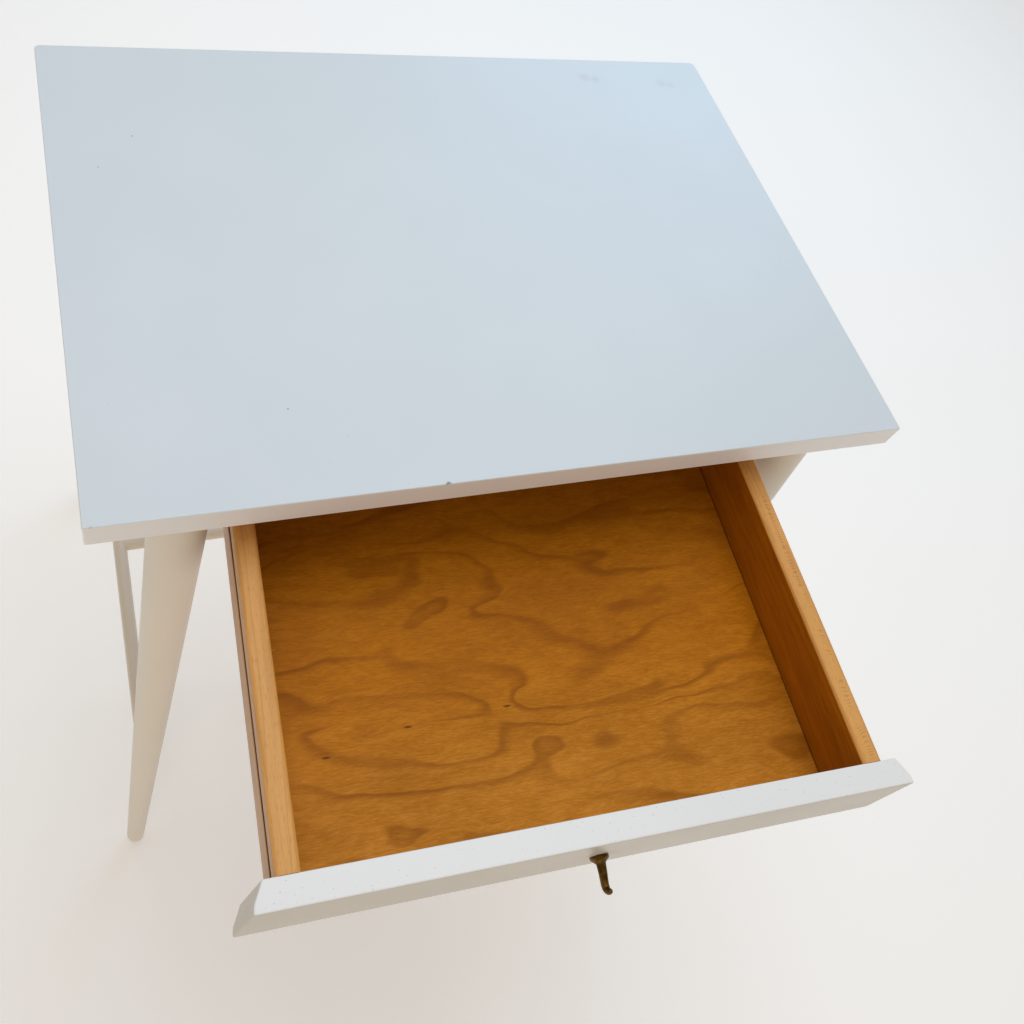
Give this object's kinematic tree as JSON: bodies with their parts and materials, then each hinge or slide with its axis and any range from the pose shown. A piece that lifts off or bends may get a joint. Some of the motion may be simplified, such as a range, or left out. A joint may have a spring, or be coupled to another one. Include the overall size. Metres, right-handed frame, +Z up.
{
  "type": "drawing table",
  "caption": "Small white-painted drawing table with splayed tapered legs, round stretchers and a wide shallow drawer that slides on side runners, standing open.",
  "frame": {"origin": "on the floor, in the middle of the whole outline with the drawer open as pictured", "axes": "+X to the right across the table, +Y to the back, +Z up; the drawer opens towards -Y"},
  "size_m": [0.61, 0.7267, 0.724],
  "materials": {
    "top_paint": "white satin lacquer on wood",
    "front_paint": "white satin lacquer on wood",
    "leg_paint": "white satin lacquer on turned wood",
    "frame_wood": "bare planed wood",
    "runner_wood": "bare planed hardwood, waxed",
    "drawer_wood": "clear varnish on pale wood",
    "plywood": "clear varnish on rotary-cut plywood",
    "dowel_wood": "bare turned hardwood",
    "aged_brass": "aged dark brass",
    "screw_steel": "zinc-plated steel",
    "glide_steel": "polished nickel-plated steel"
  },
  "bodies": {
    "table": {"table_top": "top_paint", "batten_front": "frame_wood", "batten_back": "frame_wood", "batten_screws": "screw_steel", "leg_front_left": "leg_paint", "leg_front_right": "leg_paint", "leg_back_left": "leg_paint", "leg_back_right": "leg_paint", "foot_glides": "glide_steel", "stretcher_left": "leg_paint", "stretcher_right": "leg_paint", "stretcher_cross": "leg_paint", "rail_left": "frame_wood", "rail_right": "frame_wood", "rail_screws": "screw_steel", "runner_left": "runner_wood", "runner_right": "runner_wood", "runner_screws": "screw_steel"},
    "stop_peg": {"stop_peg": "dowel_wood"},
    "drawer": {"drawer_front": "front_paint", "drawer_side_left": "drawer_wood", "drawer_side_right": "drawer_wood", "drawer_back": "drawer_wood", "drawer_bottom": "plywood", "drawer_front_dowels": "dowel_wood", "drawer_back_pins": "screw_steel", "drawer_bottom_screws": "screw_steel", "pull_rosette": "aged_brass", "pull_hook": "aged_brass"}
  },
  "joints": [
    {"name": "drawer_slide", "type": "slide", "parent": "table", "child": "stop_peg", "axis": [0, 1, 0], "range_m": [-0.041, 0.2382]},
    {"name": "drawer_skew", "type": "hinge", "parent": "stop_peg", "child": "drawer", "pos_m": [0, 0.02483, 0.66], "axis": [0, 0, 1], "range_deg": [-0.5, 2.88]}
  ],
  "couplings": [
    {"joint": "drawer_skew", "follows": "drawer_slide", "rad_per_m": 0.21132}
  ]
}
